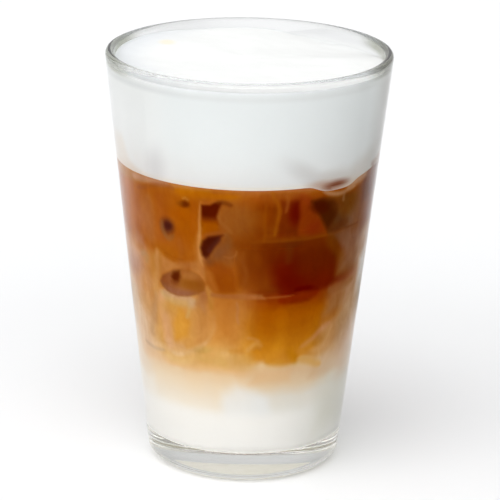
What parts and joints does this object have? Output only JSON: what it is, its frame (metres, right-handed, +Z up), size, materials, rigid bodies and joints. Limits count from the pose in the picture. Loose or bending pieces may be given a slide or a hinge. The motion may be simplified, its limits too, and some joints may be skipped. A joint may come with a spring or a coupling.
{
  "type": "iced latte in a glass",
  "caption": "Iced latte in a clear conical tumbler: white milk, tan milky coffee, brown coffee with ice against the wall, and a thick cap of milk foam. Stands on its foot.",
  "frame": {"origin": "on the table, under the middle of the glass's foot", "axes": "+Z up, along the axis of the glass; -Y is the front, the side the picture shows; +X is to the right as seen from the front"},
  "size_m": [0.0856, 0.0856, 0.1271],
  "materials": {
    "clear_glass": "clear soda-lime glass, polished, with a fire-rounded lip",
    "milk": "liquid, opaque white",
    "milky_coffee": "liquid, cloudy tan, darker at the top",
    "coffee": "liquid, clear brown with milky streaks",
    "foam": "fine milk foam, matte white",
    "ice": "clear ice, tinted by the coffee round it"
  },
  "bodies": {
    "root": {"glass": "clear_glass", "milk": "milk", "milky_coffee": "milky_coffee", "coffee": "coffee", "foam": "foam", "ice_upper_left": "ice", "ice_upper_front": "ice", "ice_upper_right": "ice", "ice_lower_left": "ice", "ice_lower_front": "ice", "ice_back_left": "ice", "ice_back_right": "ice", "ice_back_low": "ice"}
  },
  "joints": []
}
